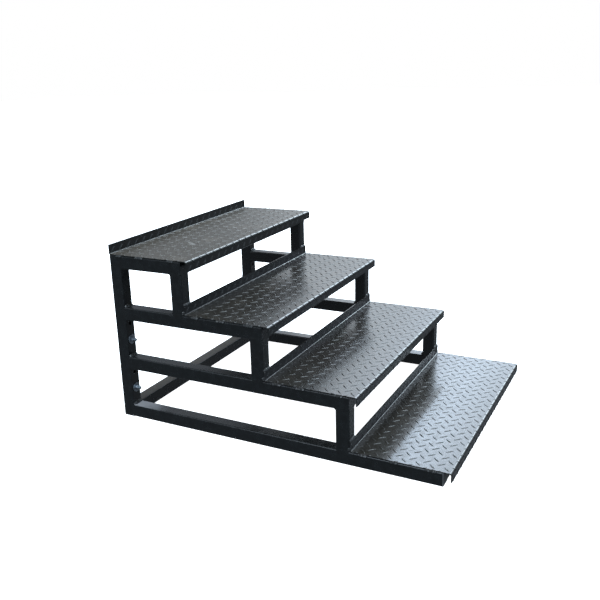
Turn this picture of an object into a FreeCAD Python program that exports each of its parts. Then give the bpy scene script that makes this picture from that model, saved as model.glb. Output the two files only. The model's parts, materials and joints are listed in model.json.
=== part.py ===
import FreeCAD, Part
import math
import os

import Sketcher

# Four-step mounting block: two welded square-tube side frames, cross tubes and folded treads.
#
# Frame: +Z up, +X down the steps towards the person who steps on, Y across the width.
# The origin is on the ground, at the centre of the whole block's footprint.
# Left is -Y and right is +Y, as seen by a person who climbs the steps.
# Steps are counted from the bottom: the first is the lowest tread, the fourth is the top platform.

STEP_COUNT = 4
STEP_NAMES = {1: "first", 2: "second", 3: "third", 4: "top"}
SIDES = {"left": -1, "right": 1}
QUARTER_TURN = math.pi / 2
VOLUME_TOLERANCE = 0.01

# Driving dimensions in millimetres: alias, value, what it is.
SIZES = [
    ("block_width", 1000.0, "outside width over the two side frames, and the treads' length"),
    ("step_rise", 200.0, "height from one tread to the next"),
    ("step_going", 320.0, "distance from one row of posts to the next"),
    ("tube_side", 50.0, "outside of the square tube"),
    ("tube_wall", 3.0, "wall of the square tube"),
    ("tube_inner_radius", 2.0, "radius inside the square tube's corners"),
    ("end_cap_thickness", 3.0, "plate welded over an open tube end"),
    ("plate_thickness", 4.0, "floor plate of the treads, without its raised lugs"),
    ("bend_radius", 4.0, "radius inside the treads' folds"),
    ("nosing_overhang", 28.0, "how far a tread's front face stands beyond the posts below it"),
    ("nosing_depth", 32.0, "height of the folded-down front edge"),
    ("upstand_height", 35.0, "height of the folded-up rear edge above the tread"),
    ("bolt_diameter", 12.0, "fixing bolts through the rear posts"),
    ("bolt_hole_clearance", 2.0, "how much wider the posts' holes are than the bolts"),
    ("bolt_projection", 9.5, "length of bolt that stands out of the nut"),
    ("hex_across_flats", 18.0, "bolt head and nut"),
    ("bolt_head_height", 7.5, "hexagon head"),
    ("nut_height", 10.0, "hexagon nut"),
    ("thread_clearance", 0.1, "radial gap between bolt and nut"),
    ("head_washer_diameter", 24.0, "washer under the bolt head"),
    ("head_washer_thickness", 2.5, "washer under the bolt head"),
    ("nut_washer_diameter", 37.0, "wide washer under the nut"),
    ("nut_washer_thickness", 3.0, "wide washer under the nut"),
    ("washer_hole_clearance", 1.0, "how much wider the washers' holes are than the bolts"),
    ("spare_hole_drop", 20.0, "from the rail's underside down to the empty hole below it"),
    ("bolt_drop", 84.0, "from the rail's underside down to the fixing bolt below it"),
]

doc = FreeCAD.newDocument("mounting_block")
sheet = doc.addObject("Spreadsheet::Sheet", "Sizes")
for row, (alias, value, meaning) in enumerate(SIZES, start=1):
    sheet.set(f"A{row}", meaning)
    sheet.set(f"B{row}", str(value))
    sheet.setAlias(f"B{row}", alias)
doc.recompute()

subparts = []

# Places, written as expressions of the sheet's values.
HEAD_PROJECTION = "(Sizes.bolt_head_height + Sizes.head_washer_thickness)"
REAR_FACE_X = (
    f"(({HEAD_PROJECTION} - Sizes.nosing_overhang - {STEP_COUNT} * Sizes.step_going) / 2)"
)
REAR_TUBE_X = f"({REAR_FACE_X} + Sizes.tube_side / 2)"
FRAME_Y = "(Sizes.block_width / 2 - Sizes.tube_side / 2)"
INNER_WIDTH = "(Sizes.block_width - 2 * Sizes.tube_side)"
POST_TOP_Z = f"(Sizes.tube_side + {STEP_COUNT - 1} * Sizes.step_rise)"
OUTER_CORNER_RADIUS = "(Sizes.tube_inner_radius + Sizes.tube_wall)"
POST_HOLE_DIAMETER = "(Sizes.bolt_diameter + Sizes.bolt_hole_clearance)"
WASHER_HOLE_DIAMETER = "(Sizes.bolt_diameter + Sizes.washer_hole_clearance)"
CLAMPED_LENGTH = "(Sizes.head_washer_thickness + Sizes.tube_side + Sizes.nut_washer_thickness)"
BOLT_LENGTH = f"({CLAMPED_LENGTH} + Sizes.nut_height + Sizes.bolt_projection)"

# Turns that carry an object's own Z axis to the named axis of the block.
TURN_TO = {
    "X": FreeCAD.Rotation(FreeCAD.Vector(0, 1, 0), 90),
    "Y": FreeCAD.Rotation(FreeCAD.Vector(1, 0, 0), -90),
    "Z": FreeCAD.Rotation(),
}


def post_front_x(step):
    """Expression for the plane of the front faces of the posts under a step's nosing."""
    return f"({REAR_FACE_X} + {STEP_COUNT + 1 - step} * Sizes.step_going)"


def rail_bottom_z(step):
    """Expression for the underside of the rails that carry a step's tread."""
    return f"({step - 1} * Sizes.step_rise)"


def tube_centre_z(step):
    """Expression for the middle height of the tubes at a step's level."""
    return f"({rail_bottom_z(step)} + Sizes.tube_side / 2)"


def side_y(side):
    """Expression for the middle plane of the left or right side frame."""
    return f"({SIDES[side]} * {FRAME_Y})"


def origin_plane(body, role):
    """The body's own origin plane with the given role, such as XY_Plane."""
    for feature in body.Origin.OriginFeatures:
        if feature.Role == role:
            return feature
    raise ValueError(f"{body.Label} has no {role}")


def new_body(name):
    """An empty body whose label is the sub-part's name."""
    body = doc.addObject("PartDesign::Body", name)
    body.Label = name
    subparts.append(body)
    return body


def new_sketch(body, name, role):
    """A sketch on one of the body's own origin planes."""
    sketch = body.newObject("Sketcher::SketchObject", name)
    sketch.AttachmentSupport = (origin_plane(body, role), [""])
    sketch.MapMode = "FlatFace"
    return sketch


def bind(sketch, label, expression, *constraint):
    """Adds a dimension to a sketch, names it and binds it to an expression."""
    index = sketch.addConstraint(Sketcher.Constraint(*constraint))
    sketch.renameConstraint(index, label)
    sketch.setExpression(f"Constraints.{label}", expression)


def place(thing, axis, x, y, z):
    """Turns an object so that its Z runs along the axis, and binds its position."""
    thing.Placement = FreeCAD.Placement(FreeCAD.Vector(0, 0, 0), TURN_TO[axis])
    thing.setExpression("Placement.Base.x", x)
    thing.setExpression("Placement.Base.y", y)
    thing.setExpression("Placement.Base.z", z)


def number(expression):
    """The present value of an expression of the sheet's values, for a sketch's first drawing."""
    return float(sheet.evalExpression(expression.replace("Sizes.", "")))


def add_rounded_square(sketch, label, side, radius):
    """Four lines and four corner arcs about the sketch's origin, fully dimensioned.

    Lines are drawn anticlockwise from the lower one, and arc n joins line n to line n + 1.
    """
    half = number(side) / 2
    bend = number(radius)
    flat = half - bend
    vector = FreeCAD.Vector
    normal = vector(0, 0, 1)
    lines = [
        (vector(-flat, -half, 0), vector(flat, -half, 0)),
        (vector(half, -flat, 0), vector(half, flat, 0)),
        (vector(flat, half, 0), vector(-flat, half, 0)),
        (vector(-half, flat, 0), vector(-half, -flat, 0)),
    ]
    centres = [
        vector(flat, -flat, 0), vector(flat, flat, 0), vector(-flat, flat, 0), vector(-flat, -flat, 0),
    ]
    first = sketch.GeometryCount
    sides = len(lines)
    for start, end in lines:
        sketch.addGeometry(Part.LineSegment(start, end))
    for turn, centre in enumerate(centres):
        circle = Part.Circle(centre, normal, bend)
        sketch.addGeometry(Part.ArcOfCircle(circle, (turn - 1) * QUARTER_TURN, turn * QUARTER_TURN))
    for turn in range(sides):
        line = first + turn
        arc = first + sides + turn
        following = first + (turn + 1) % sides
        sketch.addConstraint(Sketcher.Constraint("Tangent", line, 2, arc, 1))
        sketch.addConstraint(Sketcher.Constraint("Tangent", arc, 2, following, 1))
        sketch.addConstraint(Sketcher.Constraint("Horizontal" if turn % 2 == 0 else "Vertical", line))
    first_arc = first + sides
    for arc in range(first_arc + 1, first_arc + sides):
        sketch.addConstraint(Sketcher.Constraint("Equal", first_arc, arc))
    bind(sketch, f"{label}_radius", radius, "Radius", first_arc, bend)
    bind(sketch, f"{label}_bottom", f"{side} / 2", "DistanceY", first, 1, -1, 1, half)
    bind(sketch, f"{label}_right", f"{side} / 2", "DistanceX", -1, 1, first + 1, 1, half)
    bind(sketch, f"{label}_top", f"{side} / 2", "DistanceY", -1, 1, first + 2, 1, half)
    bind(sketch, f"{label}_left", f"{side} / 2", "DistanceX", first + 3, 1, -1, 1, half)


def add_pad(body, sketch, length, symmetric=False):
    """Pads a sketch along its normal, or half to each side of its plane."""
    pad = body.newObject("PartDesign::Pad", f"{body.Name}_pad")
    pad.Profile = sketch
    pad.setExpression("Length", length)
    if symmetric:
        pad.SideType = "Symmetric"
    return pad


def make_tube(name, axis, length, x, y, z):
    """A length of square hollow section that starts at x, y, z and runs along the axis."""
    body = new_body(name)
    sketch = new_sketch(body, f"{name}_section", "XY_Plane")
    add_rounded_square(sketch, "outer", "Sizes.tube_side", OUTER_CORNER_RADIUS)
    bore = "(Sizes.tube_side - 2 * Sizes.tube_wall)"
    add_rounded_square(sketch, "inner", bore, "Sizes.tube_inner_radius")
    add_pad(body, sketch, length)
    place(body, axis, x, y, z)
    return body


def make_end_cap(name, axis, x, y, z):
    """A plate of the tube's own outline that closes an open tube end."""
    body = new_body(name)
    sketch = new_sketch(body, f"{name}_outline", "XY_Plane")
    add_rounded_square(sketch, "outer", "Sizes.tube_side", OUTER_CORNER_RADIUS)
    add_pad(body, sketch, "Sizes.end_cap_thickness")
    place(body, axis, x, y, z)
    return body


def fixing_heights():
    """Heights of the empty holes and of the bolts: one of each below the second and third rails."""
    holes = []
    bolts = []
    for step in (2, 3):
        holes.append(f"({rail_bottom_z(step)} - Sizes.spare_hole_drop)")
        bolts.append(f"({rail_bottom_z(step)} - Sizes.bolt_drop)")
    return holes, bolts


def drill_rear_post(body):
    """Cuts the empty holes and the bolt holes through the front and back walls of a rear post."""
    holes, bolts = fixing_heights()
    sketch = new_sketch(body, f"{body.Name}_holes", "YZ_Plane")
    radius = number(f"{POST_HOLE_DIAMETER} / 2")
    for index, height in enumerate(holes + bolts):
        local_height = f"{height} - Sizes.end_cap_thickness"
        centre = FreeCAD.Vector(0, number(local_height), 0)
        sketch.addGeometry(Part.Circle(centre, FreeCAD.Vector(0, 0, 1), radius))
        sketch.addConstraint(Sketcher.Constraint("PointOnObject", index, 3, -2))
        bind(sketch, f"height_{index}", local_height, "DistanceY", -1, 1, index, 3, centre.y)
        bind(sketch, f"radius_{index}", f"{POST_HOLE_DIAMETER} / 2", "Radius", index, radius)
    pocket = body.newObject("PartDesign::Pocket", f"{body.Name}_drilling")
    pocket.Profile = sketch
    pocket.Type = "ThroughAll"
    pocket.SideType = "Symmetric"


def make_side_frame(side):
    """Rear post, four rails, three front posts and the caps on their open ends."""
    y = side_y(side)
    rear_post = make_tube(
        f"{side}_rear_post", "Z", f"{POST_TOP_Z} - Sizes.end_cap_thickness",
        REAR_TUBE_X, y, "Sizes.end_cap_thickness",
    )
    drill_rear_post(rear_post)
    make_end_cap(f"{side}_rear_post_foot_cap", "Z", REAR_TUBE_X, y, "0")
    for step in range(1, STEP_COUNT + 1):
        rail = f"{side}_{STEP_NAMES[step]}_rail"
        z = tube_centre_z(step)
        start_x = f"({REAR_FACE_X} + Sizes.tube_side)"
        cap_x = f"({post_front_x(step)} - Sizes.end_cap_thickness)"
        make_tube(rail, "X", f"{cap_x} - {start_x}", start_x, y, z)
        make_end_cap(f"{rail}_end_cap", "X", cap_x, y, z)
    for step in range(2, STEP_COUNT + 1):
        make_tube(
            f"{side}_{STEP_NAMES[step]}_post", "Z", "Sizes.step_rise - Sizes.tube_side",
            f"({post_front_x(step)} - Sizes.tube_side / 2)", y,
            f"({rail_bottom_z(step - 1)} + Sizes.tube_side)",
        )


def make_cross_tube(name, x, z):
    """A tube across the block, between the inner faces of the two side frames."""
    make_tube(name, "Y", INNER_WIDTH, x, f"(-{INNER_WIDTH} / 2)", z)


def make_tread(step):
    """A plate folded up at the back and down at the front, drawn as its section and padded across.

    The section's origin is at the upstand's back face and the tread's top face.
    """
    name = f"{STEP_NAMES[step]}_tread"
    body = new_body(name)
    sketch = new_sketch(body, f"{name}_section", "XZ_Plane")
    plate = number("Sizes.plate_thickness")
    bend = number("Sizes.bend_radius")
    depth = number("Sizes.step_going + Sizes.nosing_overhang")
    drop = number("Sizes.nosing_depth")
    rise = number("Sizes.upstand_height")
    outer = plate + bend
    points = [
        (0, rise), (0, bend), (outer, -plate), (depth - outer, -plate),
        (depth - plate, -outer), (depth - plate, -drop), (depth, -drop), (depth, -outer),
        (depth - outer, 0), (outer, 0), (plate, bend), (plate, rise),
    ]
    corners = [FreeCAD.Vector(x, z, 0) for x, z in points]
    normal = FreeCAD.Vector(0, 0, 1)
    rear_centre = FreeCAD.Vector(outer, bend, 0)
    front_centre = FreeCAD.Vector(depth - outer, -outer, 0)

    line_ends = [(0, 1), (2, 3), (4, 5), (5, 6), (6, 7), (8, 9), (10, 11), (11, 0)]
    for start, end in line_ends:
        sketch.addGeometry(Part.LineSegment(corners[start], corners[end]))
    back, under, flange_back, flange_edge, front, top, upstand_front, upstand_edge = range(len(line_ends))
    arcs = [
        (rear_centre, outer, 2), (front_centre, bend, 0),
        (front_centre, outer, 0), (rear_centre, bend, 2),
    ]
    for centre, radius, turn in arcs:
        circle = Part.Circle(centre, normal, radius)
        sketch.addGeometry(Part.ArcOfCircle(circle, turn * QUARTER_TURN, (turn + 1) * QUARTER_TURN))
    rear_outer, front_inner, front_outer, rear_inner = range(len(line_ends), sketch.GeometryCount)

    tangents = [
        (back, 2, rear_outer, 1), (rear_outer, 2, under, 1),
        (under, 2, front_inner, 2), (front_inner, 1, flange_back, 1),
        (front, 2, front_outer, 1), (front_outer, 2, top, 1),
        (top, 2, rear_inner, 2), (rear_inner, 1, upstand_front, 1),
    ]
    for joint in tangents:
        sketch.addConstraint(Sketcher.Constraint("Tangent", *joint))
    corners_met = [
        (flange_back, 2, flange_edge, 1), (flange_edge, 2, front, 1),
        (upstand_front, 2, upstand_edge, 1), (upstand_edge, 2, back, 1),
        (rear_outer, 3, rear_inner, 3), (front_outer, 3, front_inner, 3),
    ]
    for joint in corners_met:
        sketch.addConstraint(Sketcher.Constraint("Coincident", *joint))
    for line in (under, flange_edge, top, upstand_edge):
        sketch.addConstraint(Sketcher.Constraint("Horizontal", line))
    for line in (back, flange_back, front, upstand_front):
        sketch.addConstraint(Sketcher.Constraint("Vertical", line))
    sketch.addConstraint(Sketcher.Constraint("PointOnObject", back, 1, -2))
    sketch.addConstraint(Sketcher.Constraint("PointOnObject", top, 1, -1))
    bind(sketch, "plate", "Sizes.plate_thickness", "DistanceX", upstand_edge, 2, upstand_edge, 1, plate)
    bind(sketch, "rear_bend", "Sizes.bend_radius", "Radius", rear_inner, bend)
    bind(sketch, "front_bend", "Sizes.bend_radius", "Radius", front_inner, bend)
    tread_depth = "Sizes.step_going + Sizes.nosing_overhang"
    bind(sketch, "depth", tread_depth, "DistanceX", -1, 1, front, 1, depth)
    bind(sketch, "drop", "Sizes.nosing_depth", "DistanceY", front, 1, -1, 1, drop)
    bind(sketch, "rise", "Sizes.upstand_height", "DistanceY", -1, 1, back, 1, rise)
    add_pad(body, sketch, "Sizes.block_width", symmetric=True)
    back_x = REAR_FACE_X if step == STEP_COUNT else post_front_x(step + 1)
    place(body, "Z", back_x, "0", f"({rail_bottom_z(step)} + Sizes.tube_side + Sizes.plate_thickness)")


def make_cylinder(name, diameter, height):
    """A cylinder on the object's own Z axis, from zero up."""
    cylinder = doc.addObject("Part::Cylinder", name)
    cylinder.setExpression("Radius", f"({diameter}) / 2")
    cylinder.setExpression("Height", height)
    return cylinder


def make_hexagon(name, height):
    """A hexagonal prism on the object's own Z axis, from zero up."""
    prism = doc.addObject("Part::Prism", name)
    prism.Polygon = 6
    prism.setExpression("Circumradius", "Sizes.hex_across_flats / sqrt(3)")
    prism.setExpression("Height", height)
    return prism


def make_bolt(name):
    """A hexagon bolt whose shank starts at zero and runs along its Z."""
    head = make_hexagon(f"{name}_head", "Sizes.bolt_head_height")
    head.setExpression("Placement.Base.z", "-Sizes.bolt_head_height")
    bolt = doc.addObject("Part::Fuse", name)
    bolt.Base = head
    bolt.Tool = make_cylinder(f"{name}_shank", "Sizes.bolt_diameter", BOLT_LENGTH)
    return bolt


def make_nut(name):
    """A hexagon nut from zero up, bored to clear the bolt's shank."""
    nut = doc.addObject("Part::Cut", name)
    nut.Base = make_hexagon(f"{name}_blank", "Sizes.nut_height")
    bore = "Sizes.bolt_diameter + 2 * Sizes.thread_clearance"
    nut.Tool = make_cylinder(f"{name}_bore", bore, "Sizes.nut_height")
    return nut


def make_washer(name, diameter, thickness):
    """A flat ring from zero up."""
    washer = doc.addObject("Part::Cut", name)
    washer.Base = make_cylinder(f"{name}_disc", diameter, thickness)
    washer.Tool = make_cylinder(f"{name}_hole", WASHER_HOLE_DIAMETER, thickness)
    return washer


def make_fasteners():
    """Four bolts through the rear posts, with a washer at the head and a wide washer and nut in front."""
    head_washer_x = f"({REAR_FACE_X} - Sizes.head_washer_thickness)"
    post_front = f"({REAR_FACE_X} + Sizes.tube_side)"
    nut_x = f"({post_front} + Sizes.nut_washer_thickness)"
    groups = {"fixing_bolts": [], "head_washers": [], "nut_washers": [], "fixing_nuts": []}
    for side in SIDES:
        for level, height in enumerate(fixing_heights()[1], start=1):
            tag = f"{side}_{level}"
            bolt = make_bolt(f"bolt_{tag}")
            place(bolt, "X", head_washer_x, side_y(side), height)
            groups["fixing_bolts"].append(bolt)
            thin = make_washer(
                f"head_washer_{tag}", "Sizes.head_washer_diameter", "Sizes.head_washer_thickness",
            )
            place(thin, "X", head_washer_x, side_y(side), height)
            groups["head_washers"].append(thin)
            wide = make_washer(
                f"nut_washer_{tag}", "Sizes.nut_washer_diameter", "Sizes.nut_washer_thickness",
            )
            place(wide, "X", post_front, side_y(side), height)
            groups["nut_washers"].append(wide)
            nut = make_nut(f"nut_{tag}")
            place(nut, "X", nut_x, side_y(side), height)
            groups["fixing_nuts"].append(nut)
    for name, members in groups.items():
        group = doc.addObject("Part::Compound", name)
        group.Label = name
        group.Links = members
        subparts.append(group)


for side_name in SIDES:
    make_side_frame(side_name)
make_cross_tube("rear_bottom_cross_tube", REAR_TUBE_X, tube_centre_z(1))
make_cross_tube("rear_top_cross_tube", REAR_TUBE_X, tube_centre_z(STEP_COUNT))
for step_number in range(1, STEP_COUNT + 1):
    make_cross_tube(
        f"{STEP_NAMES[step_number]}_front_cross_tube",
        f"({post_front_x(step_number)} - Sizes.tube_side / 2)", tube_centre_z(step_number),
    )
    make_tread(step_number)
make_fasteners()

doc.recompute()

for item in doc.Objects:
    if "Invalid" in item.State or "Error" in item.State:
        raise RuntimeError(f"{item.Label} failed to recompute: {item.State}")

for part in subparts:
    if part.Shape.isNull() or not part.Shape.isValid():
        raise RuntimeError(f"{part.Label} has no valid shape")

# Every hole in a rear post goes through two walls, the front one and the back one.
one_wall = math.pi * number(f"{POST_HOLE_DIAMETER} ^ 2 / 4 * Sizes.tube_wall")
hole_count = sum(len(heights) for heights in fixing_heights())
expected = 2 * hole_count * one_wall
for side_name in SIDES:
    post = doc.getObject(f"{side_name}_rear_post")
    removed = doc.getObject(f"{post.Name}_pad").Shape.Volume - post.Shape.Volume
    if abs(removed - expected) > VOLUME_TOLERANCE * one_wall:
        raise RuntimeError(f"{post.Label}: drilling removed {removed:.1f} of {expected:.1f} cubic mm")

os.makedirs("parts", exist_ok=True)
for part in subparts:
    part.Shape.exportStep(f"parts/{part.Label}.step")

whole = FreeCAD.BoundBox()
for part in subparts:
    whole.add(part.Shape.BoundBox)
print(f"{len(subparts)} sub-parts, {whole.XLength:.1f} x {whole.YLength:.1f} x {whole.ZLength:.1f} mm")
print(f"x {whole.XMin:.2f} to {whole.XMax:.2f}, z {whole.ZMin:.2f} to {whole.ZMax:.2f}")
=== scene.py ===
import json
import math
from functools import partial

import bmesh
import bpy
import numpy as np
from bpy.props import FloatProperty, FloatVectorProperty, IntProperty, PointerProperty
from mathutils import Matrix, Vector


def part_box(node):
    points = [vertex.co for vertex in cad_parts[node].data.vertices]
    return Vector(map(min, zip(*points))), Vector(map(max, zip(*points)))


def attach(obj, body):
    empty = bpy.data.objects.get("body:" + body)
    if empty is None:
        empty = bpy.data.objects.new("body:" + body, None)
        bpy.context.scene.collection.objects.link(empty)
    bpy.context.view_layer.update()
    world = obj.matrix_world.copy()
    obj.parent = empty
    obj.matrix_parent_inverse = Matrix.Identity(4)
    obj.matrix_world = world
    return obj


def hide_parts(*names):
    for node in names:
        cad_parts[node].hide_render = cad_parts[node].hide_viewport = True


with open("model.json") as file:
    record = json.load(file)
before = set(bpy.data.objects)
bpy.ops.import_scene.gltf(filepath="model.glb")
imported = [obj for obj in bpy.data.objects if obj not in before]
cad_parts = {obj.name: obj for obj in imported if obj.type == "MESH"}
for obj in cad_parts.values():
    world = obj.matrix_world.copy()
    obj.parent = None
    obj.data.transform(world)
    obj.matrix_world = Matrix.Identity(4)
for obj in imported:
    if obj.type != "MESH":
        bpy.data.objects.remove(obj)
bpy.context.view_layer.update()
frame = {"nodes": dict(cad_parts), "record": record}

bl_info = {
    "name": "Mounting block",
    "version": (1, 0, 0),
    "blender": (4, 5, 0),
    "location": "3D View > Sidebar > Mounting block",
    "description": "Painted tubes, tear-plate treads, welds and zinc fasteners of a mounting block",
    "category": "Object",
}

ROOT = "root"
SIDES = {"left": -1, "right": 1}
STEPS = ("first", "second", "third", "top")
MM = 0.001
QUARTER = math.pi / 2
# The three axes, and 72 even directions round a bolt.
X, Y, Z = (np.eye(3)[i] for i in range(3))
AROUND = np.arange(72) * math.radians(5)
# Beads stop this far short of a tube's rounded corners.
BEAD_GAP = 3 * MM

# How much dust lies on each tread, from the first to the top one.
TREAD_DUST = (0.11, 0.10, 0.12, 0.33)
# Pale dirt on the lowest rails, damp dirt on the tube between them, and scraped paint.
SILT = (0.155, 0.148, 0.152)
DAMP_DIRT = (0.032, 0.024, 0.018)
SCRAPED = (0.21, 0.20, 0.185)
# Scrapes on the top tread: x, y, length, width and turn about Z.
SCRAPES = ((-0.447, -0.249, 0.085, 0.020, -0.55), (-0.537, -0.161, 0.030, 0.018, 0.4))
# Tones of the sky along a line from the rear (0) to the front (1), of the trees and of the ground.
SKY_TONES = (
    (0.0, (0.10, 0.11, 0.12)), (0.10, (0.15, 0.16, 0.18)), (0.15, (0.38, 0.41, 0.44)),
    (0.26, (0.40, 0.44, 0.48)), (0.30, (0.44, 0.49, 0.54)), (0.345, (0.50, 0.56, 0.64)),
    (0.36, (0.68, 0.80, 0.94)), (0.375, (1.62, 2.02, 2.50)), (0.39, (0.80, 0.95, 1.12)),
    (0.405, (0.75, 0.85, 0.97)), (0.44, (0.42, 0.48, 0.55)), (0.54, (0.40, 0.46, 0.53)),
    (0.58, (1.5, 1.8, 2.0)), (0.70, (1.5, 1.8, 2.0)), (0.76, (0.20, 0.23, 0.27)),
    (1.0, (0.14, 0.17, 0.20)),
)
TREES = (0.065, 0.072, 0.082)
GROUND = (0.032, 0.036, 0.040)
WHITE = (1.0, 1.0, 1.0, 1.0)

# Sizes read from the frame. Every tube has the same outside, and every tread the same section.
FIRST_CROSS_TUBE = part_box("first_front_cross_tube")
TUBE_SIDE = FIRST_CROSS_TUBE[1].z - FIRST_CROSS_TUBE[0].z
FIRST_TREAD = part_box("first_tread")
BLOCK_WIDTH = FIRST_TREAD[1].y - FIRST_TREAD[0].y
REAR_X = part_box("left_rear_post")[0].x
CAP_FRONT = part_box("left_first_rail_end_cap")[1].x
FRAME_Y = BLOCK_WIDTH / 2 - TUBE_SIDE / 2
INNER_Y = BLOCK_WIDTH / 2 - TUBE_SIDE
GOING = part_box("second_tread")[0].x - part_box("third_tread")[0].x
TUBE_NODES = sorted(n for n in frame["nodes"] if n.endswith(("_rail", "_post", "_cross_tube")))
CAP_NODES = sorted(n for n in frame["nodes"] if n.endswith("_cap"))


# ---- settings

Length = partial(FloatProperty, unit="LENGTH")
Colour = partial(FloatVectorProperty, subtype="COLOR")


class TubeSettings(bpy.types.PropertyGroup):
    """Sizes of the square tube that its outside doesn't give."""

    wall: Length(name="Wall", description="Thickness of the tube's wall", default=3 * MM)
    inner_radius: Length(name="Inner radius", description="Radius inside the tube's corners", default=2 * MM)
    saw_edge: Length(name="Saw edge", description="Softening of the sawn ends", default=0.35 * MM)
    arc_steps: IntProperty(
        name="Arc steps", description="Faces round each corner of the tube", default=6, min=2)
    hole_edge: Length(name="Hole edge", description="Softening of the drilled holes", default=0.6 * MM)


class TreadSettings(bpy.types.PropertyGroup):
    """Sizes of the folded tear plate."""

    plate: Length(name="Plate", description="Thickness of the plate under its lugs", default=4 * MM)
    bend_radius: Length(name="Bend radius", description="Radius inside the folds", default=4 * MM)
    upstand: Length(name="Upstand", description="Height of the rear edge above the tread", default=35 * MM)
    cut_edge: Length(name="Cut edge", description="Softening of the plate's cut edges", default=0.5 * MM)
    lug_length: Length(name="Lug length", description="Length of a raised lug", default=31 * MM)
    lug_width: Length(name="Lug width", description="Width of a raised lug", default=7.5 * MM)
    lug_height: Length(name="Lug height", description="Height of a raised lug", default=1.5 * MM)
    lug_pitch: Length(name="Lug pitch", description="Spacing of like lugs, both ways", default=47.3 * MM)
    first_lug_front: Length(
        name="First row", description="Nosing front to the first row of lugs", default=23 * MM)
    first_lug_side: Length(
        name="First column", description="Tread's end to the first column of lugs", default=20 * MM)


class WeldSettings(bpy.types.PropertyGroup):
    """Sizes of the weld beads."""

    leg: Length(name="Leg", description="Leg of a fillet weld", default=9 * MM)
    flush_width: Length(name="Flush width", description="Width of a dressed butt weld", default=12 * MM)
    flush_height: Length(name="Flush height", description="Height of a dressed butt weld", default=0.45 * MM)
    groove: Length(
        name="Groove", description="Depth that a butt weld fills beside a rounded corner", default=4.2 * MM)
    groove_shift: Length(
        name="Groove shift", description="From the joint to the middle of that groove", default=1.6 * MM)
    ripple: Length(name="Ripple", description="Spacing of the ripples along a bead", default=3 * MM)
    ripple_depth: FloatProperty(
        name="Ripple depth", description="Share of the bead that a ripple takes",
        default=0.16, subtype="FACTOR")
    stitch: Length(name="Stitch", description="Length of a stitch under a tread's end", default=34 * MM)


class FastenerSettings(bpy.types.PropertyGroup):
    """Sizes of the bolts and nuts."""

    bolt: Length(name="Bolt", description="Thread's outside diameter", default=12 * MM)
    pitch: Length(name="Pitch", description="Pitch of the thread", default=1.75 * MM)
    thread: Length(name="Thread depth", description="Depth of the thread", default=1.0 * MM)
    flats: Length(name="Across flats", description="Across flats of head and nut", default=18 * MM)
    head: Length(name="Head", description="Height of the bolt's head", default=7.5 * MM)
    washer_hole: Length(name="Washer hole", description="Hole in the washers", default=13 * MM)


class FinishSettings(bpy.types.PropertyGroup):
    """Colours of the paint, dirt and plating."""

    paint: Colour(
        name="Paint", description="Satin black of the tubes and plates", default=(0.0034, 0.0044, 0.0050))
    dust: Colour(name="Dust", description="Dry yard dust", default=(0.23, 0.18, 0.13))
    rubbed: Colour(
        name="Rubbed", description="Paint polished by boots on the lugs", default=(0.022, 0.024, 0.027))
    zinc: Colour(name="Zinc", description="Bright zinc plating", default=(0.30, 0.34, 0.38))


class StageSettings(bpy.types.PropertyGroup):
    """The camera, the floor and the soft light."""

    camera_place: FloatVectorProperty(
        name="Camera", description="Place of the camera", subtype="TRANSLATION", unit="LENGTH",
        default=(1.2029, -2.6169, 1.3043))
    yaw: FloatProperty(
        name="Yaw", description="Turn of the view from straight across the block", unit="ROTATION",
        default=0.5201)
    pitch: FloatProperty(
        name="Pitch", description="How far the camera looks down", unit="ROTATION", default=0.3003)
    roll: FloatProperty(
        name="Roll", description="Tilt of the camera about its view", unit="ROTATION", default=-0.0412)
    lens: FloatProperty(
        name="Lens", description="Focal length on a 36 mm sensor, in millimetres", default=45.59)
    shift: FloatProperty(
        name="Shift", description="Sideways shift of the lens, in picture widths", default=0.0667)
    floor: Length(name="Floor", description="Side of the floor", default=60.0)
    floor_colour: Colour(name="Floor colour", description="Pale matt floor", default=(0.8, 0.8, 0.8))
    floor_glow: FloatProperty(
        name="Floor glow", description="Light from the floor, which keeps it white", default=1.0)
    sky_strength: FloatProperty(name="Sky", description="Strength of the soft light overhead", default=5.0)


# ---- meshes

def cleaned_faces(faces):
    """Quads as lists. One with two corners in one point becomes a triangle, and a line is dropped."""
    same = faces == np.roll(faces, -1, axis=1)
    count = same.sum(axis=1)
    keep = ~same[count == 1]
    return faces[count == 0].tolist() + faces[count == 1][keep].reshape(-1, 3).tolist()


def merged(points, faces, grid=1e-7):
    """Points that lie within one grid step become one, and the faces' numbers follow."""
    keys = np.round(points / grid).astype(np.int64)
    _, first, where = np.unique(keys, axis=0, return_index=True, return_inverse=True)
    return first, where.reshape(-1)[faces]


def grid_quads(rows, columns, close_rows=False, close_columns=False, start=0):
    """Corners of a grid's quads, with its last row or column joined to the first if asked."""
    row = np.arange(rows if close_rows else rows - 1)
    column = np.arange(columns if close_columns else columns - 1)
    r, c = np.meshgrid(row, column, indexing="ij")
    down = (r + 1) % rows
    across = (c + 1) % columns
    corners = [r * columns + c, r * columns + across, down * columns + across, down * columns + c]
    return np.stack(corners, -1).reshape(-1, 4) + start


def new_mesh(name, points, faces, masks=None):
    """A mesh of merged points with outward faces, smooth but for its real edges.

    masks maps an attribute's name to one value a point, such as how close it is to a worn edge.
    """
    kept, faces = merged(points, faces)
    mesh = bpy.data.meshes.new(name)
    mesh.from_pydata(points[kept].tolist(), [], cleaned_faces(faces))
    for mask, values in (masks or {}).items():
        attribute = mesh.attributes.new(mask, "FLOAT", "POINT")
        attribute.data.foreach_set("value", values[kept].astype(np.float32))
    shell = bmesh.new()
    shell.from_mesh(mesh)
    bmesh.ops.recalc_face_normals(shell, faces=shell.faces[:])
    shell.to_mesh(mesh)
    shell.free()
    soften(mesh)
    return mesh


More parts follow.
